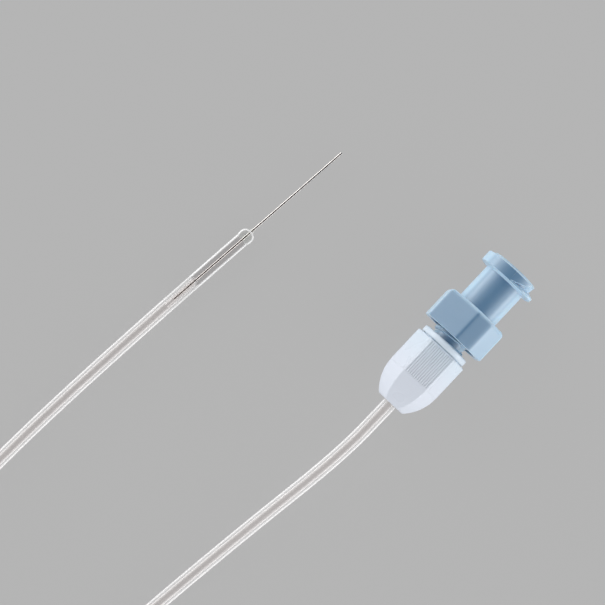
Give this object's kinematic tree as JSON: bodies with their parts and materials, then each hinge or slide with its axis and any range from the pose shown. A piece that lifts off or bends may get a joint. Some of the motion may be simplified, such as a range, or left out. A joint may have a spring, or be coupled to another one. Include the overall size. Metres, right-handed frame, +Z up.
{
  "type": "sialography catheter",
  "caption": "Fine steel cannula bonded into a clear tube that a screw clamp cap holds on a Luer lock hub, for filling a salivary duct with contrast.",
  "frame": {"origin": "on the surface the catheter lies on, below the middle of the hub and its cap", "axes": "+X along the hub towards its Luer mouth, +Z up"},
  "size_m": [0.0999, 0.0354, 0.0088],
  "materials": {
    "hub_plastic": "gloss moulded plastic, light blue",
    "cap_plastic": "milky translucent moulded plastic",
    "clear_tube": "clear soft vinyl",
    "adhesive": "clear cured adhesive",
    "steel": "drawn stainless steel",
    "sleeve_plastic": "translucent fine tube"
  },
  "bodies": {
    "catheter": {"hub_tube": "clear_tube", "tube_coil": "clear_tube", "tip_tube": "clear_tube", "tip_adhesive": "adhesive", "cannula": "steel", "cannula_sleeve": "sleeve_plastic"},
    "cap": {"clamp_cap": "cap_plastic"},
    "hub": {"luer_hub": "hub_plastic"}
  },
  "joints": [
    {"name": "cap_turn", "type": "hinge", "parent": "catheter", "child": "cap", "pos_m": [0, 0, 0.00395], "axis": [-1, 0, 0], "range_deg": [0, 842]},
    {"name": "hub_travel", "type": "slide", "parent": "catheter", "child": "hub", "axis": [1, 0, 0], "range_m": [0, 0.0028]}
  ],
  "couplings": [
    {"joint": "cap_turn", "follows": "hub_travel", "rad_per_m": 5236}
  ]
}
